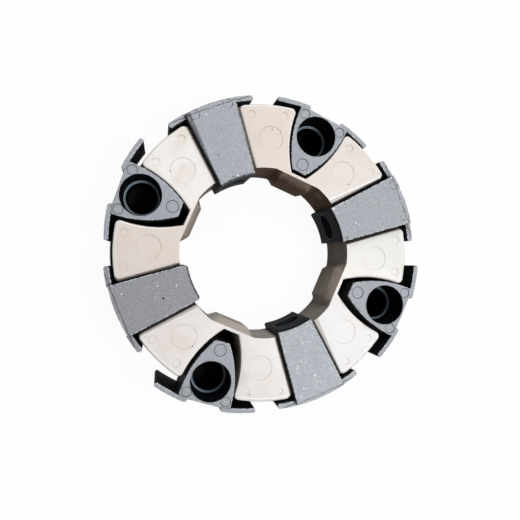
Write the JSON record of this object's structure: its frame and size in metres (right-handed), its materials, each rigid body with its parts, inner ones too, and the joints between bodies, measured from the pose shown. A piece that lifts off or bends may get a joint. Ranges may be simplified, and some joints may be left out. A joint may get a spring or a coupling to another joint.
{
  "type": "flexible shaft coupling",
  "caption": "Ring coupling that joins a flange to a shaft hub through elastic saddles held between cast inserts for axial and radial bolts.",
  "frame": {"origin": "on the coupling's axis, at the lower face that lies on the flange", "axes": "+Z along the coupling's axis, up out of the recesses for the axial screws; +X out along the bore of radial insert 1"},
  "size_m": [0.199, 0.199, 0.047],
  "materials": {
    "cast_aluminium": "sandblasted die casting, matt grey with fine sparkle, light scuffs",
    "elastomer": "moulded cream elastomer, satin, light soiling"
  },
  "bodies": {
    "root": {"radial_insert_1": "cast_aluminium", "axial_insert_1": "cast_aluminium", "elastic_element_1": "elastomer", "radial_insert_2": "cast_aluminium", "axial_insert_2": "cast_aluminium", "elastic_element_2": "elastomer", "radial_insert_3": "cast_aluminium", "axial_insert_3": "cast_aluminium", "elastic_element_3": "elastomer", "radial_insert_4": "cast_aluminium", "axial_insert_4": "cast_aluminium", "elastic_element_4": "elastomer"}
  },
  "joints": []
}
